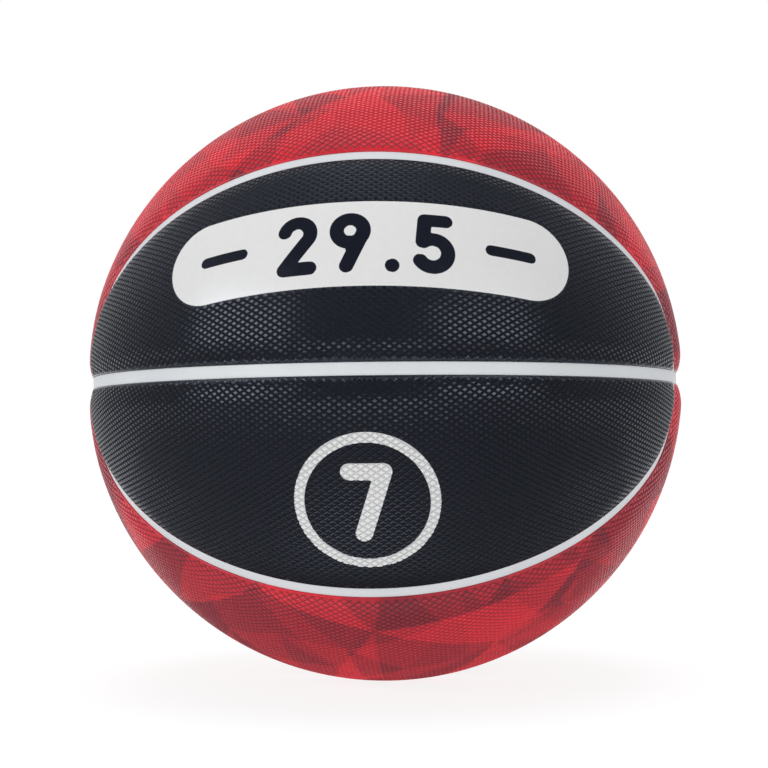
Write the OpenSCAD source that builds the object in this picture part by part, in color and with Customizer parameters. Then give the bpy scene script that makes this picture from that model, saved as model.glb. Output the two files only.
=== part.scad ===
// Eight-panel basketball, built up in layers: an air bladder with its valve, a thread
// winding, a rubber carcass, smooth channel strips and eight padded cover panels.
// Origin at the centre of the ball, +Z up, the front oval pair faces -Y.

/* [Ball] */
// Diameter across the crowns of opposite panels
ball_d = 238.5; // [228:0.5:246]
// Thickness of the padded cover panels
cover_t = 3.0; // [2.6:0.1:4]
// Thickness of the rubber carcass
carcass_t = 1.0; // [0.8:0.1:2]
// Thickness of the nylon thread winding
winding_t = 0.4; // [0.3:0.1:1]
// Thickness of the butyl bladder wall
bladder_t = 1.1; // [0.8:0.1:2]
// Glue line left between bonded pieces
glue_gap = 0.05; // [0.03:0.01:0.1]

/* [Channels] */
// Width of the smooth strip in each channel
strip_w = 4.6; // [3.6:0.1:8]
// Depth of the strip's face below the panel crowns
strip_depth = 2.4; // [1.6:0.1:2.5]
// Height that a panel's edge stands above the strip
edge_lip = 0.35; // [0.1:0.05:0.8]
// Width of the rounded shoulder along each panel edge
shoulder_w = 10; // [6:0.5:12]
// Power of the shoulder's curve, larger for a tighter edge
shoulder_power = 2.4; // [1.5:0.1:3]
// Bands of facets that make up the shoulder's curve
shoulder_bands = 6; // [4:1:7]

/* [Oval seams] */
// Angle from the front of the ball to the tip of the oval
oval_tip_angle = 76; // [70:0.5:79]
// Angle from the front of the ball to the middle of the oval's long side
oval_side_angle = 41.5; // [38:0.5:45]
// Angular radius of the oval's round ends
oval_end_angle = 22; // [18:0.5:26]

/* [Valve] */
// Elevation of the valve on the back of the ball
valve_elevation = 21; // [16:0.5:26]
// Radius of the needle passage
needle_hole_r = 1.25; // [1:0.05:1.5]
// Radius of the plug's stem
plug_stem_r = 2.5; // [2.2:0.1:2.8]
// Radius of the plug's head and of the bulb that keeps it in
plug_head_r = 3.2; // [3:0.1:3.5]
// Height of the plug's head
plug_head_h = 1.2; // [0.8:0.1:1.6]
// Length of the plug from its face to the end of its bulb
plug_len = 11; // [9:0.5:13]
// Length of the plug's bulb
plug_bulb_len = 2.6; // [2:0.1:3.5]
// Outer radius of the valve's neck
neck_r = 4.4; // [4.2:0.1:5]
// Depth of the valve's face below the panel crowns
valve_recess = 1.0; // [0.6:0.1:1.5]
// Radius of the flange bonded inside the bladder
flange_r = 15; // [12:0.5:18]
// Thickness of the flange at the neck
flange_t = 2.2; // [1.5:0.1:3]
// Thickness of the flange at its rim
flange_rim_t = 0.7; // [0.5:0.1:1.2]
// Outer radius of the housing that hangs inside the bladder
housing_r = 5.2; // [4.8:0.1:6]
// Rubber left below the plug, round the needle passage
housing_floor_t = 1.6; // [1:0.1:2.5]
// Bevel round the housing's inner end
housing_bevel = 1.2; // [0.5:0.1:1.5]

/* [Colours] */
// Colour of the oval panels
oval_colour = [0.13, 0.14, 0.17];
// Colour of the top and bottom panels
field_colour = [0.74, 0.09, 0.11];
// Colour of the channel strips
strip_colour = [0.86, 0.87, 0.88];

/* [Hidden] */
$fn = 180;

// Facets along an oval's long side, round one of its ends and across a field panel
side_steps = 24;
end_steps = 8;
field_rows = 5;
arch_steps = side_steps + 2 * end_steps;
// Power that draws the shoulder's bands closer together at the edge
band_power = 1.3;

// Radii of the layers, from the crowns inwards
crown_r = ball_d / 2;
carcass_r = crown_r - cover_t;
winding_r = carcass_r - carcass_t;
bladder_r = winding_r - winding_t;
air_r = bladder_r - bladder_t;
strip_r = crown_r - strip_depth;
edge_drop = strip_depth - edge_lip;

// Angle that a length on the strips covers, seen from the ball's centre
function degrees_of(length) = length / strip_r * 180 / PI;
strip_half = degrees_of(strip_w / 2);
wall_half = degrees_of(strip_w / 2 + glue_gap);
shoulder_angle = degrees_of(shoulder_w);

// The oval is four circle arcs drawn on the sphere, each tangent to the next.
// Its round ends turn about a centre on the belt, its long sides about one beyond it.
end_centre = oval_tip_angle - oval_end_angle;
centre_step = oval_side_angle - oval_end_angle;
side_centre = atan2(cos(centre_step) - cos(end_centre), sin(centre_step));
side_angle = oval_side_angle + side_centre;
side_sweep = atan2(sin(end_centre), cos(end_centre) * sin(side_centre));
end_sweep = atan2(sin(side_centre), cos(side_centre) * sin(end_centre));

// Direction at an azimuth from the front towards +X and an elevation above the belt
function heading(azimuth, elevation) =
    [cos(elevation) * sin(azimuth), -cos(elevation) * cos(azimuth), sin(elevation)];

// Direction on the circle at this angle from the centre of the oval's long side
function on_side(angle, turn) =
    cos(angle) * heading(0, -side_centre)
    + sin(angle) * (cos(turn) * heading(0, 90 - side_centre) + sin(turn) * [1, 0, 0]);

// Direction on the circle at this angle from the centre of the oval's right end
function on_end(angle, turn) =
    cos(angle) * heading(end_centre, 0)
    + sin(angle) * (cos(turn) * heading(end_centre + 90, 0) + sin(turn) * [0, 0, 1]);

// Turn about the end's centre at which its circle rises to this elevation
function end_start(angle, elevation) = asin(sin(elevation) / sin(angle));

// Azimuth at which the end's circle crosses this elevation
function end_azimuth(angle, elevation) = end_centre + acos(cos(angle) / cos(elevation));

function mirrored(point) = [-point.x, point.y, point.z];
function reversed(list) = [for (i = [len(list) - 1 : -1 : 0]) list[i]];

// Right end of the oval from the belt up to its long side, drawn offset from the seam
function right_end(offset, elevation) =
    let (angle = oval_end_angle + offset, start = end_start(angle, elevation))
    [for (k = [0 : end_steps]) on_end(angle, start + (end_sweep - start) * k / end_steps)];

// Long side of the oval from left to right, drawn offset from the seam
function long_side(offset) =
    [for (j = [0 : side_steps])
        on_side(side_angle + offset, side_sweep * (2 * j / side_steps - 1))];

// Line above the belt at one elevation, from one azimuth to another
function belt_line(from, to, elevation, steps) =
    [for (j = [0 : steps]) heading(from + (to - from) * j / steps, elevation)];

// Line in front of the arch channel, from one foot over the top to the other
function arch_line(offset, elevation) =
    let (foot = asin(sin(elevation) / cos(offset)))
    [for (j = [0 : arch_steps])
        let (turn = 180 - foot - (180 - 2 * foot) * j / arch_steps)
        [cos(offset) * cos(turn), -sin(offset), cos(offset) * sin(turn)]];

// All of a list but its last item, so that four sides join into a closed ring
function open_ended(list) = [for (i = [0 : len(list) - 2]) list[i]];
function ring(bottom, right, top, left) =
    concat(open_ended(bottom), open_ended(right), open_ended(top), open_ended(left));

// Ring round half an oval, this far in from the panel's edge
function oval_ring(inset) =
    let (
        elevation = wall_half + inset,
        right = right_end(-wall_half - inset, elevation),
        tip = end_azimuth(oval_end_angle - wall_half - inset, elevation)
    )
    ring(belt_line(-tip, tip, elevation, side_steps),
        right,
        reversed(long_side(-wall_half - inset)),
        reversed([for (point = right) mirrored(point)]));

// Ring round a field panel, this far in from the panel's edge
function field_ring(inset) =
    let (
        elevation = wall_half + inset,
        right = right_end(wall_half + inset, elevation),
        left = [for (point = right) mirrored(point)],
        tip = end_azimuth(oval_end_angle + wall_half + inset, elevation),
        foot = acos(sin(elevation) / cos(elevation))
    )
    ring(concat(open_ended(left), open_ended(long_side(wall_half + inset)), reversed(right)),
        belt_line(tip, foot, elevation, field_rows),
        reversed(arch_line(elevation, elevation)),
        belt_line(-foot, -tip, elevation, field_rows));

// Radius of the panel's face at a share of the shoulder's width from its edge
function shoulder_r(share) = crown_r - edge_drop * pow(1 - share, shoulder_power);

// Shares of the shoulder's width at which its rings lie, closer together at the edge
ring_shares = [for (i = [0 : shoulder_bands]) pow(i / shoulder_bands, band_power)];

// Point of a crown that blends the four sides of its ring
function blend(ring, along, across, j, k) =
    let (
        u = j / along,
        v = k / across,
        count = len(ring),
        point = (1 - v) * ring[j] + v * ring[2 * along + across - j]
            + (1 - u) * ring[(count - k) % count] + u * ring[along + k]
            - (1 - u) * (1 - v) * ring[0] - u * (1 - v) * ring[along]
            - (1 - u) * v * ring[2 * along + across] - u * v * ring[along + across]
    )
    point / norm(point);

// Solid wedge under a padded face: shoulder rings, a crown of along by across cells, and
// straight walls down to the ball's centre
module padded_wedge(rings, along, across) {
    count = 2 * (along + across);
    bands = len(rings) - 1;
    inner = (bands + 1) * count;
    apex = inner + (along - 1) * (across - 1);
    function cell(j, k) =
        k == 0 ? bands * count + j
        : j == along ? bands * count + along + k
        : k == across ? bands * count + 2 * along + across - j
        : j == 0 ? bands * count + count - k
        : inner + (j - 1) * (across - 1) + k - 1;
    function cut(a, b, c, d) = [[c, b, a], [d, c, a]];
    points = concat(
        [for (i = [0 : bands]) for (point = rings[i]) point * shoulder_r(ring_shares[i])],
        [for (j = [1 : along - 1]) for (k = [1 : across - 1])
            blend(rings[bands], along, across, j, k) * crown_r],
        [[0, 0, 0]]);
    faces = concat(
        [for (i = [0 : bands - 1]) for (p = [0 : count - 1])
            let (q = (p + 1) % count, low = i * count, high = low + count)
            each cut(low + p, low + q, high + q, high + p)],
        [for (j = [0 : along - 1]) for (k = [0 : across - 1])
            let (corners = [cell(j, k), cell(j + 1, k), cell(j + 1, k + 1), cell(j, k + 1)])
            each (j < along / 2) == (k < across / 2)
                ? cut(corners[0], corners[1], corners[2], corners[3])
                : cut(corners[1], corners[2], corners[3], corners[0])],
        [for (p = [0 : count - 1]) [p, (p + 1) % count, apex]]);
    polyhedron(points, faces);
}

// Ball that the carcass and its glue line fill under the cover
module under_cover() {
    sphere(r = carcass_r + glue_gap, $fn = 2 * $fn);
}

// Half of an oval, as it lies on the upper front of the ball
module oval_panel() {
    difference() {
        padded_wedge([for (share = ring_shares) oval_ring(shoulder_angle * share)],
            side_steps, end_steps);
        under_cover();
    }
}

// One of the long panels that arch over an oval, as it lies on the upper front
module field_panel() {
    difference() {
        padded_wedge([for (share = ring_shares) field_ring(shoulder_angle * share)],
            arch_steps, field_rows);
        under_cover();
    }
}

// Seam over half an oval from left to right, drawn offset from its middle line
function oval_seam(offset) =
    let (right = right_end(offset, wall_half))
    concat(open_ended([for (point = right) mirrored(point)]),
        open_ended(long_side(offset)),
        reversed(right));

// The strip over one half of an oval, as it lies on the upper front. Its facets' middles,
// not their corners, rest on the glue line.
module oval_strip() {
    sole_r = (carcass_r + glue_gap) / cos(side_sweep / side_steps);
    outer = oval_seam(strip_half);
    inner = oval_seam(-strip_half);
    last = len(outer) - 1;
    points = [for (i = [0 : last])
        each [inner[i] * sole_r, outer[i] * sole_r, outer[i] * strip_r, inner[i] * strip_r]];
    sides = [for (i = [0 : last - 1]) for (k = [0 : 3])
        let (a = 4 * i + k, b = 4 * i + (k + 1) % 4)
        each [[b + 4, b, a], [a + 4, b + 4, a]]];
    ends = [[0, 1, 2, 3], [for (k = [3 : -1 : 0]) 4 * last + k]];
    polyhedron(points, concat(sides, ends));
}

// Outline of a strip that runs round the whole ball, beside its axis
module round_strip_outline() {
    intersection() {
        difference() {
            circle(r = strip_r);
            circle(r = carcass_r + glue_gap);
        }
        translate([0, -strip_w / 2])
            square([crown_r, strip_w]);
    }
}

// The strip that runs over the top of the ball, from belt to belt
module arch_strip() {
    difference() {
        rotate([90, 0, 0])
            rotate_extrude(angle = 180)
                round_strip_outline();
        cylinder(r = crown_r, h = strip_w + 2 * glue_gap, center = true);
    }
}

// Stands what is drawn along +Z on the valve's axis, at the back of the ball
module at_valve() {
    rotate([valve_elevation - 90, 0, 0])
        children();
}

// Hole for the valve's neck
module neck_hole() {
    at_valve()
        cylinder(r = neck_r + glue_gap, h = crown_r);
}

// A round layer of the ball with a hole for the valve's neck
module layer(outer_r, inner_r) {
    difference() {
        sphere(r = outer_r);
        sphere(r = inner_r);
        neck_hole();
    }
}

module bladder() {
    color("dimgray") layer(bladder_r - glue_gap, air_r);
}

module nylon_winding() {
    color("ivory") layer(winding_r - glue_gap, bladder_r);
}

module carcass() {
    color([0.2, 0.2, 0.21]) layer(carcass_r, winding_r);
}

// Heights along the valve's axis, from the ball's centre
valve_face = crown_r - valve_recess;
plug_end = valve_face - plug_len;
housing_end = plug_end - housing_floor_t;
flange_face = air_r - glue_gap;
flange_rim = sqrt(pow(flange_face, 2) - pow(flange_r, 2));

// Outline of the rubber plug beside its axis, grown by the fit round it
module plug_outline(grow) {
    polygon([
        [0, plug_end - grow],
        [plug_stem_r + grow, plug_end - grow],
        [plug_head_r + grow, plug_end + plug_bulb_len / 3],
        [plug_head_r + grow, plug_end + plug_bulb_len * 2 / 3],
        [plug_stem_r + grow, plug_end + plug_bulb_len + grow],
        [plug_stem_r + grow, valve_face - plug_head_h - grow],
        [plug_head_r + grow, valve_face - plug_head_h - grow],
        [plug_head_r + grow, valve_face + grow],
        [0, valve_face + grow]]);
}

// Passage for the inflating needle, from the ball's middle outwards
module needle_passage() {
    cylinder(r = needle_hole_r, h = crown_r);
}

// Round flange that lies against the inside of the bladder
module flange() {
    intersection() {
        sphere(r = flange_face);
        rotate_extrude()
            polygon([
                [0, flange_face - flange_t],
                [housing_r, flange_face - flange_t],
                [flange_r, flange_rim - flange_rim_t],
                [flange_r, flange_face],
                [0, flange_face]]);
    }
}

// Housing that hangs inside the ball, and the neck that runs out through every layer
module housing_and_neck() {
    rotate_extrude()
        polygon([
            [0, housing_end],
            [housing_r - housing_bevel, housing_end],
            [housing_r, housing_end + housing_bevel],
            [housing_r, flange_rim],
            [neck_r, flange_rim],
            [neck_r, valve_face],
            [0, valve_face]]);
}

module valve_boot() {
    color([0.16, 0.16, 0.17])
        at_valve()
            difference() {
                union() {
                    flange();
                    housing_and_neck();
                }
                rotate_extrude() plug_outline(glue_gap);
                needle_passage();
            }
}

// Push-in plug that closes on the needle passage
module valve_plug() {
    color([0.1, 0.1, 0.11])
        at_valve()
            difference() {
                rotate_extrude() plug_outline(0);
                needle_passage();
            }
}

// Cover panels, each one its own copy of the upper front one
module front_upper_oval_panel() {
    color(oval_colour) oval_panel();
}

module front_lower_oval_panel() {
    color(oval_colour) mirror([0, 0, 1]) oval_panel();
}

module rear_upper_oval_panel() {
    color(oval_colour)
        difference() {
            mirror([0, 1, 0]) oval_panel();
            neck_hole();
        }
}

module rear_lower_oval_panel() {
    color(oval_colour) rotate([180, 0, 0]) oval_panel();
}

module front_top_panel() {
    color(field_colour) field_panel();
}

module front_bottom_panel() {
    color(field_colour) mirror([0, 0, 1]) field_panel();
}

module rear_top_panel() {
    color(field_colour) mirror([0, 1, 0]) field_panel();
}

module rear_bottom_panel() {
    color(field_colour) rotate([180, 0, 0]) field_panel();
}

// Channel strips, bonded to the carcass between the panels
module belt_strip() {
    color(strip_colour) rotate_extrude() round_strip_outline();
}

module top_strip() {
    color(strip_colour) arch_strip();
}

module bottom_strip() {
    color(strip_colour) mirror([0, 0, 1]) arch_strip();
}

module front_upper_oval_strip() {
    color(strip_colour) oval_strip();
}

module front_lower_oval_strip() {
    color(strip_colour) mirror([0, 0, 1]) oval_strip();
}

module rear_upper_oval_strip() {
    color(strip_colour) mirror([0, 1, 0]) oval_strip();
}

module rear_lower_oval_strip() {
    color(strip_colour) rotate([180, 0, 0]) oval_strip();
}

bladder();
nylon_winding();
carcass();
valve_boot();
valve_plug();
front_upper_oval_panel();
front_lower_oval_panel();
rear_upper_oval_panel();
rear_lower_oval_panel();
front_top_panel();
front_bottom_panel();
rear_top_panel();
rear_bottom_panel();
belt_strip();
top_strip();
bottom_strip();
front_upper_oval_strip();
front_lower_oval_strip();
rear_upper_oval_strip();
rear_lower_oval_strip();
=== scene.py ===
"""Rubber basketball in soft studio light: pebbled cover panels, channel strips and a valve.

Lengths are in millimetres and angles in degrees until a mesh is made, which is in metres.
The ball's centre is the origin, +Z is up and the front oval pair of panels faces -Y."""
import math

import bmesh
import bpy
import numpy as np
from mathutils import Matrix, Vector
from mathutils.geometry import delaunay_2d_cdt

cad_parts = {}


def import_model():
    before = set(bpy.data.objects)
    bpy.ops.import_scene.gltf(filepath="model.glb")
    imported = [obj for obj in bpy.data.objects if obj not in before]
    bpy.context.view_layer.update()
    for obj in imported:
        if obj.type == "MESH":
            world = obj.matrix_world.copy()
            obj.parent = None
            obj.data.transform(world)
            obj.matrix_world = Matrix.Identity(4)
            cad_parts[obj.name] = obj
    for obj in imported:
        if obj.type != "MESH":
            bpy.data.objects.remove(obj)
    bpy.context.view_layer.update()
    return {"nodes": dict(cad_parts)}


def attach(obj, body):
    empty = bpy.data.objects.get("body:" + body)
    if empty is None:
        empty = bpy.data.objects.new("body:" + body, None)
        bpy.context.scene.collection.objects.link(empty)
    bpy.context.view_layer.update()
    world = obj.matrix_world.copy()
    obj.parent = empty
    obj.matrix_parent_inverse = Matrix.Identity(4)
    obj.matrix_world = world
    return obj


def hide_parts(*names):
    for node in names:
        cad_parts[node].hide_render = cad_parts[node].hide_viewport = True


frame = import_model()

MM = 0.001

# Sizes of the ball, as its solids have them
CROWN_R = 119.25
COVER_T = 3.0
GLUE_GAP = 0.05
STRIP_W = 4.6
STRIP_R = CROWN_R - 2.4
EDGE_LIP = 0.35
SHOULDER_W = 10.0
SHOULDER_POWER = 2.4
SOLE_R = CROWN_R - COVER_T + GLUE_GAP
EDGE_DROP = CROWN_R - STRIP_R - EDGE_LIP
OVAL_TIP = 76.0
OVAL_SIDE = 41.5
END_R = 22.0
VALVE_HOLE_R = 4.45
VALVE_DISH_DEPTH = 0.8
VALVE_DISH_W = 5.0
VALVE_PLAIN_W, VALVE_FADE_W = 2.0, 2.5
MM_PER_DEGREE = math.radians(STRIP_R)
WALL_HALF = STRIP_W / 2 + GLUE_GAP

# Pebbles: diamonds on a centred lattice, mapped from each panel's middle. Of three lattice nodes
# along each side of a pebble, two edge its flat top and one lies in the groove.
CELL_W = 3.46
CELL_H = 2.34
PEBBLE_DEPTH = 0.46
TOP_SHARE = 0.25
NODE_STEPS = np.array([0, 0.5 - TOP_SHARE, 1 - 2 * TOP_SHARE])
TOP_UNEVEN = 0.02
EDGE_UNEVEN, EDGE_UNEVEN_W = 2.0, 1.5
OVAL_AXIS = 21.0
FIELD_AXIS = 66.0

# Meshes of the panels: rings from the wall's foot over the rounded edge, each with its distance in
# and its drop below the face, and the plain inner side
CORNER_SOFTNESS = 0.6
PILLOW_SOFTNESS = 2.0
RING_SPACING = 0.75
EDGE_INSETS = (0.0, 0.0, 0.07, 0.2, 0.38, 0.6)
EDGE_DROPS = (0.0, 0.3, 0.08, 0.0, 0.0, 0.0)
EDGE_PLAIN_W, EDGE_FADE_W = 0.2, 0.7
HOLE_STEPS = 48
GRID_INSET = 0.9
SOLE_SPACING = 6.0
SOLE_CLEAR, HOLE_CLEAR = 3.0, 2.0
TOUCH = 0.02
OUTSIDE = -99.0

# Facets of the red design: a share, a number of corners and a seed for each of two sizes
FACETS = ((0.6, 120, 45), (0.4, 330, 13))
FACETS_APART = 1.25

# Print on the front: plain numbers and dashes on a smooth label, and below the belt a number in
# a ring, over the pebbles
LABEL_W, LABEL_H = 150.0, 33.0
LABEL_UP = 1.0
LABEL_FADE_W = 1.0
LABEL_DIGIT_H = 22.0
DASH_FROM, DASH_TO = 44.0, 59.0
DASH_HALF = 2.0
LOWER_DIGIT_H = 28.0
LOWER_UP = -3.0
RING_R, RING_HALF = 23.5, 1.9

# The oval seam's four arcs
END_AT = OVAL_TIP - END_R
SIDE_AT = math.degrees(math.atan2(
    math.cos(math.radians(OVAL_SIDE - END_R)) - math.cos(math.radians(END_AT)),
    math.sin(math.radians(OVAL_SIDE - END_R))))
SIDE_R = OVAL_SIDE + SIDE_AT
SIDE_SWEEP = math.degrees(math.atan2(
    math.sin(math.radians(END_AT)),
    math.cos(math.radians(END_AT)) * math.sin(math.radians(SIDE_AT))))
END_SWEEP = math.degrees(math.atan2(
    math.sin(math.radians(SIDE_AT)),
    math.cos(math.radians(SIDE_AT)) * math.sin(math.radians(END_AT))))


def heading(azimuth, elevation):
    """Direction at an azimuth from the front towards +X and an elevation above the belt."""
    a, e = np.radians(azimuth), np.radians(elevation)
    return np.stack(np.broadcast_arrays(
        np.cos(e) * np.sin(a), -np.cos(e) * np.cos(a), np.sin(e)), -1)


def circle_point(centre, up, right, angle, turn):
    """On a circle of an angular radius round a centre, at turns from up towards right."""
    a, t = np.radians(angle), np.radians(turn)[:, None]
    return np.cos(a) * centre + np.sin(a) * (np.cos(t) * up + np.sin(t) * right)


def on_side(angle, turn):
    """On the circle of the oval's long side."""
    return circle_point(heading(0, -SIDE_AT), heading(0, 90 - SIDE_AT),
                        np.array([1.0, 0, 0]), angle, turn)


def on_end(angle, turn):
    """On the circle of the oval's right end."""
    return circle_point(heading(END_AT, 0), heading(END_AT + 90, 0),
                        np.array([0, 0, 1.0]), angle, turn)


def end_start(angle, elevation):
    """Turn at which the end's circle reaches an elevation."""
    return math.degrees(math.asin(
        math.sin(math.radians(elevation)) / math.sin(math.radians(angle))))


def end_azimuth(angle, elevation):
    """Azimuth at which the end's circle reaches an elevation."""
    return END_AT + math.degrees(math.acos(
        math.cos(math.radians(angle)) / math.cos(math.radians(elevation))))


def oval_depth(n):
    """Degrees that directions lie inside the oval seam's middle line."""
    folded = n * np.where(n[:, [0]] < 0, [-1, 1, 1], [1, 1, 1])
    folded[:, 2] = np.abs(folded[:, 2])
    end, side = heading(END_AT, 0), heading(0, -SIDE_AT)
    at_end = folded @ np.cross(end, side) > 0
    from_end = END_R - np.degrees(np.arccos(np.clip(folded @ end, -1, 1)))
    from_side = SIDE_R - np.degrees(np.arccos(np.clip(folded @ side, -1, 1)))
    return np.where(at_end, from_end, from_side)


def edge_distance(kind, n, softness):
    """Distance in from a panel's edge, with its corners rounded by softness."""
    sides = [np.degrees(np.arcsin(np.clip(n[:, 2], -1, 1)))]
    if kind == "oval":
        sides.append(oval_depth(n))
    else:
        sides.append(-oval_depth(n))
        sides.append(np.degrees(np.arcsin(np.clip(-n[:, 1], -1, 1))))
    away = np.stack(sides) * MM_PER_DEGREE - WALL_HALF
    least = away.min(0)
    return least - softness * np.log(np.exp(-(away - least) / softness).sum(0))


def settle(kind, n, target, rounds=6):
    """Moves directions until they lie at a distance in from the panel's edge."""
    for _ in range(rounds):
        here = edge_distance(kind, n, CORNER_SOFTNESS)
        # any two ways across each direction
        up = np.cross(n, np.roll(n, 1, axis=1) + [0.3, 0.1, 0.2])
        up /= np.linalg.norm(up, axis=1)[:, None]
        side = np.cross(n, up)
        step = 1e-4
        slope = np.stack([
            (edge_distance(kind, unit(n + step * way), CORNER_SOFTNESS) - here) / step
            for way in (up, side)], 1)
        move = (target - here) / np.maximum((slope ** 2).sum(1), 1e-9)
        n = unit(n + move[:, None] * (slope[:, [0]] * up + slope[:, [1]] * side))
    return n


def unit(v):
    """Vectors scaled to length 1."""
    return v / np.linalg.norm(v, axis=-1, keepdims=True)


def evenly(points, spacing):
    """A closed line of directions, resampled at even steps."""
    loop = np.vstack([points, points[:1]])
    along = np.concatenate([[0], np.cumsum(np.linalg.norm(np.diff(loop, axis=0), axis=1))])
    count = int(along[-1] * STRIP_R / spacing)
    at = np.arange(count) * along[-1] / count
    return unit(np.stack([np.interp(at, along, loop[:, k]) for k in range(3)], 1))


def outline(kind):
    """The panel's edge as one closed line, anticlockwise from outside."""
    inset = WALL_HALF / MM_PER_DEGREE
    offset = -inset if kind == "oval" else inset
    angle = END_R + offset
    turns = np.linspace(end_start(angle, inset), END_SWEEP, 200)
    right = on_end(angle, turns)
    left = right * [-1, 1, 1]
    side = on_side(SIDE_R + offset, np.linspace(-SIDE_SWEEP, SIDE_SWEEP, 800))
    tip = end_azimuth(angle, inset)
    if kind == "oval":
        belt = heading(np.linspace(-tip, tip, 800), inset)
        line = np.vstack([belt, right, side[::-1], left[::-1]])
    else:
        foot = math.degrees(math.acos(math.tan(math.radians(inset))))
        start = 90 - foot
        turn = np.radians(np.linspace(start, 180 - start, 900))
        arch = np.stack([np.cos(turn) * math.cos(math.radians(inset)),
                         np.full(900, -math.sin(math.radians(inset))),
                         np.sin(turn) * math.cos(math.radians(inset))], 1)
        line = np.vstack([left, side, right[::-1],
                          heading(np.linspace(tip, foot, 100), inset), arch,
                          heading(np.linspace(-foot, -tip, 100), inset)])
    keep = np.linalg.norm(line - np.roll(line, 1, axis=0), axis=1) > 1e-6
    return evenly(settle(kind, line[keep], 0.0, 12), RING_SPACING)


def flat_map(kind):
    """The panel's azimuthal map: direction to millimetres from its middle, and back."""
    axis = OVAL_AXIS if kind == "oval" else FIELD_AXIS
    middle, up, right = heading(0, axis), heading(0, axis + 90), np.array([1.0, 0, 0])

    def to_map(n):
        away = np.arccos(np.clip(n @ middle, -1, 1))
        flat = np.stack([n @ right, n @ up], 1)
        length = np.maximum(np.linalg.norm(flat, axis=1), 1e-12)
        return flat * (away * CROWN_R / length)[:, None]

    def from_map(p):
        length = np.linalg.norm(p, axis=1)
        away = length / CROWN_R
        way = p / np.maximum(length, 1e-12)[:, None]
        return (np.cos(away)[:, None] * middle
                + np.sin(away)[:, None] * (way[:, [0]] * right + way[:, [1]] * up))

    return to_map, from_map


def smooth(t):
    """A soft step from 0 to 1."""
    t = np.clip(t, 0, 1)
    return t * t * (3 - 2 * t)


def pebble_height(p):
    """0 in the grooves and 1 on the pebbles' flat tops, at points of the panel's map."""
    a, b = p[:, 0] / CELL_W, p[:, 1] / CELL_H
    across = np.stack([a + b, a - b])
    away = np.abs(across - np.round(across)).max(0)
    return np.clip((0.5 - away) / (0.5 - TOP_SHARE), 0, 1)


def face_radius(kind, n, p, feature):
    """Radius of the panel's face, and its height from a groove's 0 to a pebble's 1."""
    inward = edge_distance(kind, n, CORNER_SOFTNESS)
    pillow = np.clip(edge_distance(kind, n, PILLOW_SOFTNESS), 0, SHOULDER_W)
    drop = EDGE_DROP * (1 - pillow / SHOULDER_W) ** SHOULDER_POWER
    fade = smooth((inward - EDGE_PLAIN_W) / EDGE_FADE_W)
    if feature == "valve":
        away = np.linalg.norm(p, axis=1) - VALVE_HOLE_R
        drop = drop + VALVE_DISH_DEPTH * (1 - smooth(away / VALVE_DISH_W))
        fade = fade * smooth((away - VALVE_PLAIN_W) / VALVE_FADE_W)
    if feature == "label":
        fade = fade * (1 - smooth(label_depth(p) / LABEL_FADE_W + 1))
    height = 1 - fade * (1 - pebble_height(p))
    return CROWN_R - drop - PEBBLE_DEPTH * (1 - height), height


def from_line(p, start, end):
    """Distance of points from the line between two points."""
    start, end = np.array(start), np.array(end)
    way = end - start
    along = np.clip((p - start) @ way / max(way @ way, 1e-9), 0, 1)
    return np.linalg.norm(p - start - along[:, None] * way, axis=1)


def from_arc(p, centre, radius, start, sweep):
    """Distance of points from an arc that runs anticlockwise from its start in degrees."""
    v = p - np.array(centre)
    turn = (np.degrees(np.arctan2(v[:, 1], v[:, 0])) - start) % 360
    ends = [np.linalg.norm(v - radius * np.array([math.cos(a), math.sin(a)]), axis=1)
            for a in (math.radians(start), math.radians(start + sweep))]
    on_circle = np.abs(np.linalg.norm(v, axis=1) - radius)
    return np.where(turn <= sweep, on_circle, np.minimum(*ends))


# Numerals one unit high, as strokes: lines by their ends, arcs by centre, radius, start, sweep
STROKE = 0.11
NUMERALS = {
    "2": ((from_arc, (0.30, 0.70), 0.21, -30, 195), (from_line, (0.482, 0.595), (0.09, 0.09)),
          (from_line, (0.09, 0.09), (0.51, 0.09))),
    "5": ((from_line, (0.49, 0.91), (0.16, 0.91)), (from_line, (0.16, 0.91), (0.13, 0.52)),
          (from_arc, (0.29, 0.33), 0.24, -145, 273)),
    "7": ((from_line, (0.09, 0.91), (0.51, 0.91)), (from_line, (0.51, 0.91), (0.25, 0.09))),
    "9": ((from_arc, (0.30, 0.70), 0.21, 0, 360), (from_line, (0.505, 0.66), (0.25, 0.09))),
    ".": ((from_line, (0.12, 0.09), (0.12, 0.09)),),
}
NUMERAL_W, NUMERAL_STEP, DOT_STEP = 0.6, 0.84, 0.46


def number_depth(p, text, height):
    """Depth of points inside a number's strokes, with the number centred on the origin."""
    steps = [DOT_STEP if c == "." else NUMERAL_STEP for c in text]
    width = sum(steps) - NUMERAL_STEP + NUMERAL_W
    place = p / height + np.array([width / 2, 0.5])
    depth = np.full(len(p), OUTSIDE)
    for c, step in zip(text, steps):
        for measure, *shape in NUMERALS[c]:
            depth = np.maximum(depth, STROKE - measure(place, *shape))
        place = place - np.array([step, 0])
    return depth * height


def label_depth(p):
    """Depth of points inside the label, a bar with round ends."""
    end = (LABEL_W - LABEL_H) / 2
    return LABEL_H / 2 - from_line(p - np.array([0, LABEL_UP]), (-end, 0), (end, 0))


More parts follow.
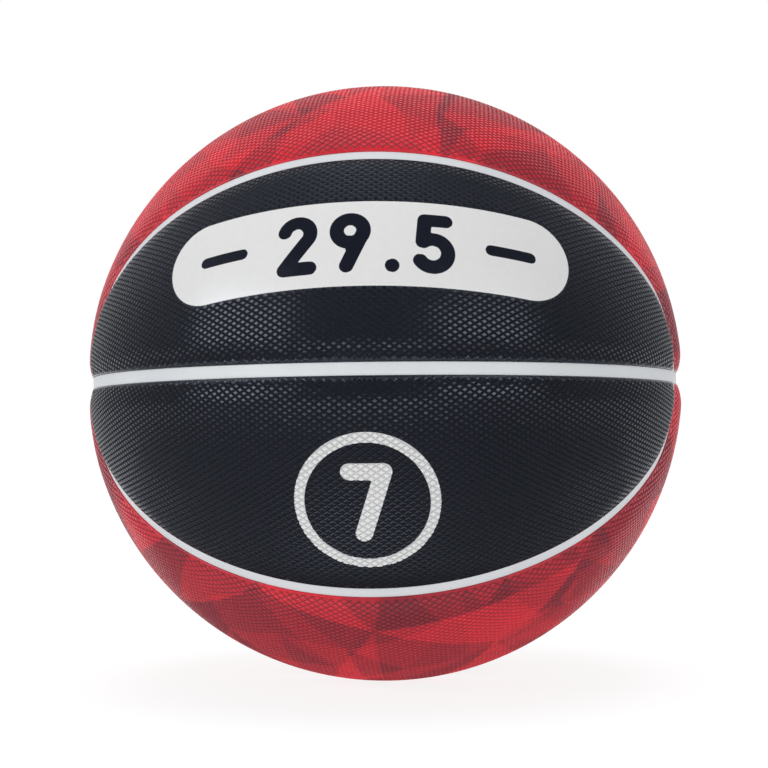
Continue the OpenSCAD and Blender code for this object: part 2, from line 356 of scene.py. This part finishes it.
def print_depth(node, p):
    """Depth of points inside the white print of a panel, which is 0 on panels without any."""
    if node == "front_upper_oval_panel":
        place = p - np.array([0, LABEL_UP])
        number = number_depth(place, "29.5", LABEL_DIGIT_H)
        dashes = DASH_HALF - from_line(np.abs(place), (DASH_FROM, 0), (DASH_TO, 0))
        return np.minimum(label_depth(p), -np.maximum(number, dashes))
    if node == "front_lower_oval_panel":
        place = p * [1, -1] - np.array([0, LOWER_UP])
        ring = RING_HALF - np.abs(np.linalg.norm(place, axis=1) - RING_R)
        return np.maximum(number_depth(place, "7", LOWER_DIGIT_H), ring)
    return np.zeros(len(p))


def triangulate(points, edges, keep):
    """Triangles among map points that hold the edges, where keep says so of their middles."""
    out, _, tris, orig, _, _ = delaunay_2d_cdt(
        [Vector(p) for p in points], edges, [], 0, 1e-7, True)
    if len(out) != len(points):
        raise RuntimeError(f"{len(points)} map points became {len(out)}")
    back = np.array([o[0] for o in orig])
    tris = back[np.array(tris)]
    middle = points[tris].mean(1)
    tris = tris[keep(middle)]
    a, b, c = (points[tris[:, k]] for k in range(3))
    area = (b[:, 0] - a[:, 0]) * (c[:, 1] - a[:, 1]) - (c[:, 0] - a[:, 0]) * (b[:, 1] - a[:, 1])
    return np.where(area[:, None] > 0, tris, tris[:, ::-1])


def fill(rims, keep):
    """Triangles between rims, each given as map points, their numbers and their edges."""
    edges = []
    total = 0
    for p, _, joined in rims:
        edges.extend((total + joined).tolist())
        total += len(p)
    points = np.vstack([p for p, _, _ in rims])
    numbers = np.concatenate([numbers for _, numbers, _ in rims])
    return numbers[triangulate(points, edges, keep)]


def lattice_nodes(reach):
    """Map points of the lattice's nodes, in rows and columns."""
    line = np.arange(-reach, reach + 1)
    along = line // 3 + TOP_SHARE + NODE_STEPS[line % 3]
    u, v = np.meshgrid(along, along, indexing="ij")
    return np.stack([CELL_W * (u + v) / 2, CELL_H * (u - v) / 2], -1)


def lattice_faces(squares):
    """Two triangles for each inner square of the lattice, by its nodes' numbers."""
    side = len(squares) + 1
    i, j = np.nonzero(squares)
    corners = (i * side + j)[:, None] + [0, 1, side + 1, side]
    # each square is split along the line that runs from its pebble's top to a crossing
    corners = np.where((i % 3 == j % 3)[:, None], corners, np.roll(corners, 1, axis=1))
    return np.vstack([corners[:, [0, 1, 2]], corners[:, [0, 2, 3]]])


def lattice_rim(squares):
    """Edges between the lattice's inner squares and the rest, by their nodes' numbers."""
    side = len(squares) + 1
    padded = np.pad(squares, 1)
    i, j = np.nonzero(padded[1:, 1:-1] != padded[:-1, 1:-1])
    across = (i * side + j)[:, None] + [0, 1]
    i, j = np.nonzero(padded[1:-1, 1:] != padded[1:-1, :-1])
    return np.vstack([across, (i * side + j)[:, None] + [0, side]])


def panel_data(kind, feature=None):
    """Points, pebble heights, map points and faces of one closed pebbled panel.

    Last comes the number of pebble triangles, which lead the triangles."""
    to_map, from_map = flat_map(kind)

    def inward_at(p):
        """Distance in from the panel's edge and from the valve's hole."""
        inward = edge_distance(kind, from_map(p), CORNER_SOFTNESS)
        if feature == "valve":
            inward = np.minimum(inward, np.linalg.norm(p, axis=1) - VALVE_HOLE_R)
        return inward

    edge = outline(kind)
    furthest = np.abs(to_map(edge)).max(0)
    reach = 3 * math.ceil(furthest[0] / CELL_W + furthest[1] / CELL_H)
    flat = lattice_nodes(reach)
    near = (np.abs(flat) < furthest).all(-1)
    inward = np.full(near.shape, OUTSIDE)
    inward[near] = inward_at(flat[near])
    inside = inward > GRID_INSET
    squares = inside[:-1, :-1] & inside[1:, :-1] & inside[1:, 1:] & inside[:-1, 1:]
    pebbles, stair = lattice_faces(squares), lattice_rim(squares)

    # the pebbled face, whose tops are slightly uneven, and more so near the edge
    used = np.unique(pebbles)
    flat, inward = flat.reshape(-1, 2), inward.ravel()[used]
    p = flat[used]
    n = from_map(p)
    r, height = face_radius(kind, n, p, feature)
    uneven = TOP_UNEVEN * np.clip(np.random.default_rng(3).normal(size=len(used)), -2, 2)
    uneven *= 1 + EDGE_UNEVEN * np.exp(-inward / EDGE_UNEVEN_W)
    if feature == "label":
        uneven = np.where(label_depth(p) > 0, 0, uneven)
    r = np.minimum(r + height * uneven, CROWN_R) - 2 * TOP_UNEVEN
    parts = [(n, r, height, p)]
    total = len(used)
    faces3 = [np.searchsorted(used, pebbles)]

    # the rings round the edge, and round the valve's hole
    rings = []
    for inset in EDGE_INSETS:
        if inset:
            edge = settle(kind, edge, inset, 4)
        rings.append(edge)
    loops = [(rings, [to_map(ring) for ring in rings], 1)]
    if feature == "valve":
        turn = np.linspace(0, 2 * np.pi, HOLE_STEPS + 1)[:-1]
        circle = np.stack([np.cos(turn), np.sin(turn)], 1)
        hole = [circle * (VALVE_HOLE_R + inset) for inset in EDGE_INSETS]
        loops.append(([from_map(p) for p in hole], hole, -1))
    faces4 = []
    corner = np.unique(stair)
    rims = [(flat[corner], np.searchsorted(used, corner), np.searchsorted(corner, stair))]
    feet = []
    for ring_set, map_set, order in loops:
        for k, (ring, p) in enumerate(zip(ring_set, map_set)):
            r, height = face_radius(kind, ring, p, feature)
            r = r - EDGE_DROPS[k] if k else np.full(len(ring), SOLE_R)
            parts.append((ring, r, height, p))
        count = len(ring_set[0])
        here = np.arange(count)
        pairs = np.stack([here, (here + 1) % count], 1)
        first, last = total, total + (len(ring_set) - 1) * count
        for low in range(first, last, count):
            faces4.append(np.hstack([low + pairs, low + count + pairs[:, ::-1]])[:, ::order])
        rims.append((map_set[-1], last + here, pairs))
        feet.append((map_set[0], first + here, pairs))
        total = last + count

    def off_grid(middle):
        a, b = middle[:, 0] / CELL_W, middle[:, 1] / CELL_H
        i, j = (3 * np.floor(t).astype(int) + np.digitize(t % 1, NODE_STEPS[1:]) + reach
                for t in (a + b - TOP_SHARE, a - b - TOP_SHARE))
        taken = squares[np.clip(i, 0, 2 * reach - 1), np.clip(j, 0, 2 * reach - 1)]
        return (inward_at(middle) > EDGE_INSETS[-1] - TOUCH) & ~taken

    faces3.append(fill(rims, off_grid))

    # the plain inner side, bonded to the carcass
    cx, cy = (np.arange(-far, far, SOLE_SPACING) for far in furthest)
    inner = np.stack(np.meshgrid(cx, cy), -1).reshape(-1, 2)
    clear = edge_distance(kind, from_map(inner), CORNER_SOFTNESS) > SOLE_CLEAR
    if feature == "valve":
        clear &= np.linalg.norm(inner, axis=1) > VALVE_HOLE_R + HOLE_CLEAR
    inner = inner[clear]
    count = len(inner)
    parts.append((from_map(inner), np.full(count, SOLE_R), np.zeros(count), inner))
    feet.append((inner, total + np.arange(count), np.zeros((0, 2), int)))
    faces3.append(fill(feet, lambda middle: inward_at(middle) > -TOUCH)[:, ::-1])
    n, r, heights, places = (np.concatenate(part) for part in zip(*parts))
    return n * r[:, None], heights, places, np.vstack(faces4), np.vstack(faces3), len(pebbles)


def facet_tones(n, count, seed):
    """A random tone for the facet of a low-poly ball that each direction meets."""
    rng = np.random.default_rng(seed)
    spots = unit(rng.normal(size=(count * 6, 3)))
    chosen = [spots[0]]
    apart = FACETS_APART / math.sqrt(count)
    for spot in spots[1:]:
        if len(chosen) < count and np.linalg.norm(np.array(chosen) - spot, axis=1).min() > apart:
            chosen.append(spot)
    low = bmesh.new()
    for spot in chosen:
        low.verts.new(spot)
    bmesh.ops.convex_hull(low, input=low.verts)
    low.faces.ensure_lookup_table()
    normals = np.array([f.normal / max(f.normal.dot(f.verts[0].co), 1e-9) for f in low.faces])
    low.free()
    order = np.lexsort(normals.round(6).T)
    normals = normals[order]
    tones = rng.random(len(normals))
    # in parts, so that the products stay small
    met = np.concatenate([(part @ normals.T).argmax(1)
                          for part in np.array_split(n, max(1, len(n) // 8000))])
    return tones[met]


def new_object(name, points, faces4, faces3, flip, node, slot, material, values=None, flat=0):
    """A mesh piece that replaces a CAD node, smooth but for its first flat triangles."""
    mesh = bpy.data.meshes.new(name)
    if flip:
        faces4, faces3 = faces4[:, ::-1], faces3[:, ::-1]
    loops = np.concatenate([faces4.ravel(), faces3.ravel()]).astype(np.int32)
    sizes = np.concatenate([np.full(len(faces4), 4), np.full(len(faces3), 3)])
    starts = np.concatenate([[0], np.cumsum(sizes)[:-1]]).astype(np.int32)
    mesh.vertices.add(len(points))
    mesh.vertices.foreach_set("co", (points * MM).astype(np.float32).ravel())
    mesh.loops.add(len(loops))
    mesh.loops.foreach_set("vertex_index", loops)
    mesh.polygons.add(len(sizes))
    mesh.polygons.foreach_set("loop_start", starts)
    mesh.update(calc_edges=True)
    mesh.validate()
    if values is not None:
        for key, data in values.items():
            layer = mesh.attributes.new(key, "FLOAT", "POINT")
            layer.data.foreach_set("value", data.astype(np.float32))
    is_smooth = np.ones(len(sizes), bool)
    is_smooth[len(faces4):len(faces4) + flat] = False
    mesh.polygons.foreach_set("use_smooth", is_smooth)
    mesh.materials.append(material)
    obj = bpy.data.objects.new(name, mesh)
    bpy.context.scene.collection.objects.link(obj)
    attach(obj, "root")
    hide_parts(node)


class Nodes:
    """Short hand for building the nodes of a material or of the world."""

    def __init__(self, owner):
        owner.use_nodes = True
        self.owner = owner
        self.tree = owner.node_tree
        self.shader = self.tree.nodes.get("Principled BSDF")

    def put(self, socket, value):
        """Gives a socket a link or a plain value."""
        if isinstance(value, bpy.types.NodeSocket):
            self.tree.links.new(value, socket)
        else:
            socket.default_value = value

    def add(self, kind, **inputs):
        node = self.tree.nodes.new(kind)
        for key, value in inputs.items():
            self.put(node.inputs[key.replace("_", " ")], value)
        return node

    def math(self, operation, a, b):
        node = self.add("ShaderNodeMath")
        node.operation = operation
        self.put(node.inputs[0], a)
        self.put(node.inputs[1], b)
        return node.outputs[0]

    def span(self, value, low, high, to_low, to_high, curve="LINEAR"):
        node = self.add("ShaderNodeMapRange", Value=value, From_Min=low, From_Max=high,
                        To_Min=to_low, To_Max=to_high)
        node.interpolation_type = curve
        return node.outputs[0]

    def blend(self, mode, share, a, b):
        node = self.add("ShaderNodeMix")
        node.data_type, node.blend_type = "RGBA", mode
        self.put(node.inputs["Factor"], share)
        self.put(node.inputs["A"], a)
        self.put(node.inputs["B"], b)
        return node.outputs["Result"]

    def grey(self, value):
        return self.add("ShaderNodeCombineColor", Red=value, Green=value, Blue=value).outputs[0]

    def noise(self, scale, detail):
        return self.add("ShaderNodeTexNoise", Scale=scale, Detail=detail,
                        Vector=self.where()).outputs["Fac"]

    def where(self):
        return self.add("ShaderNodeTexCoord").outputs["Object"]

    def attribute(self, name):
        node = self.add("ShaderNodeAttribute")
        node.attribute_name = name
        return node.outputs["Fac"]

    def bump(self, height, distance, strength):
        return self.add("ShaderNodeBump", Height=height, Distance=distance,
                        Strength=strength).outputs["Normal"]

    def finish(self, colour, roughness, normal):
        """Gives the shader its colour, roughness and normal."""
        self.put(self.shader.inputs["Base Color"], colour)
        self.put(self.shader.inputs["Roughness"], roughness)
        self.put(self.shader.inputs["Normal"], normal)


def new_material(name):
    return Nodes(bpy.data.materials.new(name))


def rgba(r, g, b):
    return (r, g, b, 1.0)


def cover_finish(n, colour, groove_painted_shade, roughness, sheen):
    """What both panel colours share: painted shade in the grooves, which are also duller, white
    print and a fine grain.
    """
    pebble = n.attribute("pebble")
    # Painted shade: the colour is darkened in the grooves between pebbles, where shade falls.
    groove = n.span(pebble, 0.0, 0.9, groove_painted_shade, 1.0)
    shade = n.blend("MULTIPLY", 1.0, colour, n.grey(groove))
    ink = n.span(n.attribute("print"), 0.02, 0.16, 0.0, 1.0)
    worn = n.span(n.noise(400, 4), 0.35, 0.75, 0.63, 0.65)
    # The white print gets painted shade in the grooves too, on top of its slightly uneven tone.
    white = n.math("MULTIPLY", worn, n.span(pebble, 0.0, 0.9, 0.72, 1.0))
    shade = n.blend("MIX", ink, shade, n.grey(white))
    rough = n.math("ADD", n.span(pebble, 0.55, 1.0, 0.68, roughness),
                   n.span(n.noise(700, 3), 0.3, 0.7, -0.04, 0.04))
    n.finish(shade, rough, n.bump(n.noise(2600, 4), 0.00002, 0.5))
    n.shader.inputs["Specular IOR Level"].default_value = 0.53
    n.shader.inputs["Specular Tint"].default_value = rgba(0.78, 0.85, 1.0)
    n.shader.inputs["Sheen Weight"].default_value = sheen
    return n.owner


def oval_material():
    """Near black, with a slight blue."""
    n = new_material("oval_cover")
    tint = n.span(n.noise(30, 3), 0.35, 0.65, 0.0, 1.0)
    colour = n.blend("MIX", tint, rgba(0.0056, 0.0069, 0.0130), rgba(0.0068, 0.0083, 0.0152))
    # 0.35 is the painted shade in the grooves.
    return cover_finish(n, colour, 0.35, 0.23, 0.02)


def field_material():
    """Reds from dark to bright by the facets' tones."""
    n = new_material("field_cover")
    ramp = n.add("ShaderNodeValToRGB", Fac=n.attribute("tone"))
    stops = ramp.color_ramp.elements
    stops[0].position, stops[0].color = 0.12, rgba(0.265, 0.0130, 0.0240)
    stops[1].position, stops[1].color = 0.88, rgba(0.740, 0.0160, 0.0305)
    for at, colour in ((0.35, rgba(0.405, 0.0138, 0.0262)), (0.62, rgba(0.590, 0.0150, 0.0285))):
        stops.new(at).color = colour
    # 0.4 is the painted shade in the grooves.
    return cover_finish(n, ramp.outputs["Color"], 0.4, 0.28, 0.10)


def strip_material():
    """Smooth white rubber, slightly uneven in tone and gloss."""
    n = new_material("channel_rubber")
    tint = n.span(n.noise(60, 4), 0.3, 0.7, 0.0, 1.0)
    colour = n.blend("MIX", tint, rgba(0.565, 0.585, 0.61), rgba(0.605, 0.625, 0.645))
    n.finish(colour, n.span(n.noise(140, 3), 0.3, 0.7, 0.42, 0.55),
             n.bump(n.noise(900, 5), 0.00005, 0.4))
    return n.owner


def dark_rubber(name, colour, roughness):
    """Dull rubber of the pieces under the cover and of the valve."""
    n = new_material(name)
    tint = n.span(n.noise(120, 3), 0.3, 0.7, 0.8, 1.2)
    n.finish(n.blend("MULTIPLY", 1.0, colour, n.grey(tint)),
             n.span(n.noise(300, 3), 0.3, 0.7, roughness - 0.08, roughness + 0.08),
             n.bump(n.noise(1800, 4), 0.00004, 0.6))
    return n.owner


def thread_material():
    """Wound nylon: fine threads that cross at low angles."""
    n = new_material("winding_nylon")
    height = 0.0
    for turn in (0.35, 1.3, 2.4):
        turned = n.add("ShaderNodeVectorRotate", Vector=n.where())
        turned.rotation_type = "EULER_XYZ"
        turned.inputs["Rotation"].default_value = (turn, turn * 1.7, turn * 0.6)
        wave = n.add("ShaderNodeTexWave", Scale=450, Distortion=0.6, Vector=turned.outputs[0])
        height = n.math("MAXIMUM", height, wave.outputs["Fac"])
    colour = n.blend("MIX", height, rgba(0.30, 0.28, 0.22), rgba(0.74, 0.71, 0.62))
    n.finish(colour, 0.6, n.bump(height, 0.0002, 1.0))
    return n.owner


OVAL = oval_material()
FIELD = field_material()
STRIP = strip_material()
CAD_FINISH = {
    "bladder": dark_rubber("bladder_rubber", rgba(0.022, 0.022, 0.023), 0.6),
    "nylon_winding": thread_material(),
    "carcass": dark_rubber("carcass_rubber", rgba(0.033, 0.033, 0.035), 0.55),
    "valve_boot": dark_rubber("valve_rubber", rgba(0.022, 0.022, 0.024), 0.5),
    "valve_plug": dark_rubber("plug_rubber", rgba(0.010, 0.010, 0.012), 0.4),
}
for node, material in CAD_FINISH.items():
    obj = frame["nodes"][node]
    obj.data.materials.clear()
    obj.data.materials.append(material)

# Panels: each made once on the upper front and turned or mirrored to its place
oval, field = panel_data("oval"), panel_data("field")
label_oval, valve_oval = panel_data("oval", "label"), panel_data("oval", "valve")
PANELS = [
    ("front_upper_oval_panel", label_oval, (1, 1, 1), OVAL, "oval_cover"),
    ("front_lower_oval_panel", oval, (1, 1, -1), OVAL, "oval_cover"),
    ("rear_upper_oval_panel", valve_oval, (1, -1, 1), OVAL, "oval_cover"),
    ("rear_lower_oval_panel", oval, (1, -1, -1), OVAL, "oval_cover"),
    ("front_top_panel", field, (1, 1, 1), FIELD, "field_cover"),
    ("front_bottom_panel", field, (1, 1, -1), FIELD, "field_cover"),
    ("rear_top_panel", field, (1, -1, 1), FIELD, "field_cover"),
    ("rear_bottom_panel", field, (1, -1, -1), FIELD, "field_cover"),
]
for node, (points, heights, places, faces4, faces3, flat), signs, material, slot in PANELS:
    flip = np.prod(signs) < 0
    values = {"pebble": heights, "print": print_depth(node, places)}
    if material == FIELD:
        n = unit(points * signs)
        values["tone"] = sum(share * facet_tones(n, count, seed) for share, count, seed in FACETS)
    new_object("pebbled_" + node, points * signs, faces4, faces3, flip, node, slot,
               material, values, flat)

# Channel strips: a profile of sides, insets from the strip's edge and radii, carried along a seam
STRIP_PROFILE = [(-1.0, 0.0, SOLE_R), (-1.0, 0.0, STRIP_R - 0.22), (-1.0, 0.07, STRIP_R - 0.06),
                 (-1.0, 0.24, STRIP_R), (-1.0, 1.4, STRIP_R), (0.0, 0.0, STRIP_R),
                 (1.0, 1.4, STRIP_R), (1.0, 0.24, STRIP_R), (1.0, 0.07, STRIP_R - 0.06),
                 (1.0, 0.0, STRIP_R - 0.22), (1.0, 0.0, SOLE_R)]
FILLET = 1.9


def strip_piece(name, node, line_at, closed, signs=(1, 1, 1)):
    """A strip whose profile follows line_at(inset, side), a line of directions."""
    points = np.stack([line_at(inset, side) * radius for side, inset, radius in STRIP_PROFILE], 1)
    steps, width = points.shape[:2]
    index = np.arange(steps * width).reshape(steps, width)
    ahead = np.roll(index, -1, axis=0) if closed else index[1:]
    here = index if closed else index[:-1]
    faces4 = []
    for k in range(width):
        j = (k + 1) % width
        faces4.append(np.stack([here[:, k], here[:, j], ahead[:, j], ahead[:, k]], 1))
    faces4 = np.vstack(faces4)
    faces3 = np.zeros((0, 3), int)
    if not closed:
        caps = []
        for row, order in ((index[0], -1), (index[-1], 1)):
            for k in range(1, width - 1):
                caps.append([row[0], row[k], row[k + 1]][::order])
        faces3 = np.array(caps)
    points = points.reshape(-1, 3) * signs
    # a face on the strip's top shows whether the faces look outwards
    middle = faces4[(len(faces4) // width) * 5 + 3]
    a, b, c = (points[middle[k]] for k in range(3))
    flip = np.dot(np.cross(b - a, c - a), a) < 0
    new_object(name, points, faces4, faces3, flip, node, "channel_rubber", STRIP)


def widened(side, inset, away):
    """Degrees from a strip's middle line, flared into the fillet where strips meet."""
    flare = np.where(away < FILLET,
                     FILLET - np.sqrt(np.maximum(FILLET ** 2 - (FILLET - away) ** 2, 0)), 0)
    return (STRIP_W / 2 + flare - inset) / MM_PER_DEGREE * side


def belt_line(inset, side):
    """The belt, all round."""
    azimuth = np.linspace(-180, 180, 721)[:-1]
    return heading(azimuth, side * (STRIP_W / 2 - inset) / MM_PER_DEGREE)


def arch_line(inset, side):
    """The arch over the top, from belt to belt."""
    turn = np.concatenate([np.linspace(0, 4, 41)[:-1], np.linspace(4, 176, 345),
                           np.linspace(176, 180, 41)[1:]])
    foot = WALL_HALF / MM_PER_DEGREE
    turn = foot + (180 - 2 * foot) * turn / 180
    away = (np.minimum(turn, 180 - turn) - foot) * MM_PER_DEGREE
    off = np.radians(widened(side, inset, away))
    t = np.radians(turn)
    return np.stack([np.cos(off) * np.cos(t), -np.sin(off), np.cos(off) * np.sin(t)], 1)


def oval_line(inset, side):
    """The upper half of the front oval, from belt to belt."""
    foot = WALL_HALF / MM_PER_DEGREE
    share = np.concatenate([np.linspace(0, 0.15, 41)[:-1], np.linspace(0.15, 1, 41)])
    start = end_start(END_R, foot)
    turn = start + (END_SWEEP - start) * share
    away = (turn - start) * math.sin(math.radians(END_R)) * MM_PER_DEGREE
    off = widened(side, inset, away)
    right = []
    for t, o in zip(turn, off):
        angle = END_R + o
        lowest = end_start(angle, foot)
        t = lowest + (t - start) * (END_SWEEP - lowest) / (END_SWEEP - start)
        right.append(on_end(angle, np.array([t]))[0])
    right = np.array(right)
    o = side * (STRIP_W / 2 - inset) / MM_PER_DEGREE
    long = on_side(SIDE_R + o, np.linspace(-SIDE_SWEEP, SIDE_SWEEP, 321))
    return np.vstack([(right * [-1, 1, 1])[:-1], long[:-1], right[::-1]])


strip_piece("smooth_belt_strip", "belt_strip", belt_line, True)
strip_piece("smooth_top_strip", "top_strip", arch_line, False)
strip_piece("smooth_bottom_strip", "bottom_strip", arch_line, False, (1, 1, -1))
for place, signs in (("front_upper", (1, 1, 1)), ("front_lower", (1, 1, -1)),
                     ("rear_upper", (1, -1, 1)), ("rear_lower", (1, -1, -1))):
    strip_piece(f"smooth_{place}_oval_strip", f"{place}_oval_strip", oval_line, False, signs)

# Studio: pale floor and surroundings, which the camera sees as white. Distances are in metres.
FLOOR_Z = -0.1188
FLOOR_HALF = 6.0
FLOOR_GLOW = 0.85
FLOOR_BOUNCE = 0.9
SHADED_R, LIT_R, FAR_R = 0.36, 0.95, 3.0
SHADED_Y, LIT_Y = 0.02, 0.09
ROOM_LEVEL = 0.08
BACKDROP_LEVEL = 0.90
ROOM_Y, BACKDROP_Y = -0.3, 0.8


def seen_level(n, camera_level, mirrored_level, plain_level):
    """A level for camera rays, one for mirror and glass rays and one for all others."""
    path = n.add("ShaderNodeLightPath")
    mirrored = n.math("MAXIMUM", path.outputs["Is Glossy Ray"],
                      path.outputs["Is Transmission Ray"])
    level = plain_level
    for share, seen in ((mirrored, mirrored_level), (path.outputs["Is Camera Ray"], camera_level)):
        mix = n.add("ShaderNodeMix")
        n.put(mix.inputs[0], share)
        n.put(mix.inputs[2], level)
        n.put(mix.inputs[3], seen)
        level = mix.outputs[0]
    return level


def floor():
    """A pale floor that looks white, with a painted shadow near the ball that shows only in the
    ball's own mirror image.
    """
    mesh = bpy.data.meshes.new("studio_floor")
    corners = ((-1, -1), (1, -1), (1, 1), (-1, 1))
    mesh.from_pydata([(FLOOR_HALF * x, FLOOR_HALF * y, FLOOR_Z) for x, y in corners],
                     [], [(0, 1, 2, 3)])
    obj = bpy.data.objects.new("studio_floor", mesh)
    bpy.context.scene.collection.objects.link(obj)
    n = new_material("studio_floor")
    n.tree.nodes.clear()
    where = n.where()
    distance = n.add("ShaderNodeVectorMath")
    distance.operation = "LENGTH"
    n.put(distance.inputs[0], where)
    away = distance.outputs["Value"]
    back = n.add("ShaderNodeSeparateXYZ", Vector=where).outputs["Y"]
    # Painted shadow: for mirror and glass rays the floor's glow is dark near the ball, where the
    # ball would shade it, and full further out.
    lit_beyond_painted_shadow = n.math("MAXIMUM", n.span(back, SHADED_Y, LIT_Y, 0.0, 1.0, "SMOOTHSTEP"),
                    n.span(away, SHADED_R, LIT_R, 0.0, 1.0, "SMOOTHSTEP"))
    around = n.span(away, SHADED_R, FAR_R, FLOOR_GLOW, 1.0, "SMOOTHSTEP")
    glow = n.add("ShaderNodeEmission", Strength=seen_level(n, around, lit_beyond_painted_shadow, FLOOR_BOUNCE))
    pale = n.add("ShaderNodeBsdfDiffuse", Color=rgba(0.2, 0.2, 0.2))
    both = n.add("ShaderNodeAddShader")
    n.put(both.inputs[0], pale.outputs[0])
    n.put(both.inputs[1], glow.outputs[0])
    n.add("ShaderNodeOutputMaterial", Surface=both.outputs[0])
    n.owner.cycles.emission_sampling = "NONE"
    mesh.materials.append(n.owner)


def world():
    """White surroundings behind the ball and a dimmer room in front of it."""
    n = Nodes(bpy.data.worlds.new("studio"))
    bpy.context.scene.world = n.owner
    n.tree.nodes.clear()
    way = n.add("ShaderNodeTexCoord").outputs["Generated"]
    back = n.add("ShaderNodeSeparateXYZ", Vector=way).outputs["Y"]
    level = n.span(back, ROOM_Y, BACKDROP_Y, ROOM_LEVEL, BACKDROP_LEVEL, "SMOOTHSTEP")
    sky = n.add("ShaderNodeBackground", Color=rgba(1, 1, 1),
                Strength=seen_level(n, 1.0, level, level))
    n.add("ShaderNodeOutputWorld", Surface=sky.outputs[0])
    n.owner.cycles.sampling_method = "NONE"


def lamp(name, place, size, power, mirrored=True):
    """A rectangular area lamp that faces the ball."""
    data = bpy.data.lights.new(name, "AREA")
    data.shape = "RECTANGLE"
    data.size, data.size_y = size
    data.energy = power
    obj = bpy.data.objects.new(name, data)
    bpy.context.scene.collection.objects.link(obj)
    obj.location = place
    obj.rotation_euler = (-Vector(place)).to_track_quat("-Z", "Y").to_euler()
    obj.visible_glossy = mirrored


floor()
world()
lamp("left_softbox", (-1.2, -1.0, 0.40), (1.05, 0.7), 10.8)
lamp("right_softbox", (1.0, -1.2, 0.38), (1.0, 0.62), 7.4)
lamp("low_card", (-0.05, -0.62, -0.085), (0.7, 0.05), 0.4)
lamp("top_fill", (0.0, 0.0, 1.4), (1.0, 1.0), 15, mirrored=False)

# Camera at the photograph's angle, found from the seams' places in it. Its shift is in pixels.
CAMERA_DISTANCE = 5.5 * CROWN_R * MM
TILT, TURN, ROLL = -2.47, -3.3, 0.54
LENS, SENSOR = 75.4, 36.0
PHOTO_W = 768
SHIFT_X, SHIFT_Y = -0.75, -0.6
view = (Matrix.Rotation(math.radians(ROLL), 3, "Z") @ Matrix.Rotation(math.radians(TILT), 3, "X")
        @ Matrix.Rotation(math.radians(TURN), 3, "Y"))
z_up = Matrix(((1, 0, 0), (0, 0, -1), (0, 1, 0)))
axes = z_up @ view.transposed()
data = bpy.data.cameras.new("camera")
data.lens, data.sensor_width = LENS, SENSOR
data.shift_x, data.shift_y = SHIFT_X / PHOTO_W, SHIFT_Y / PHOTO_W
data.clip_start = 0.01
camera = bpy.data.objects.new("camera", data)
bpy.context.scene.collection.objects.link(camera)
camera.matrix_world = (Matrix.Translation(axes @ Vector((0, 0, CAMERA_DISTANCE)))
                       @ axes.to_4x4())
bpy.context.scene.camera = camera

bpy.context.scene.view_settings.view_transform = "Standard"
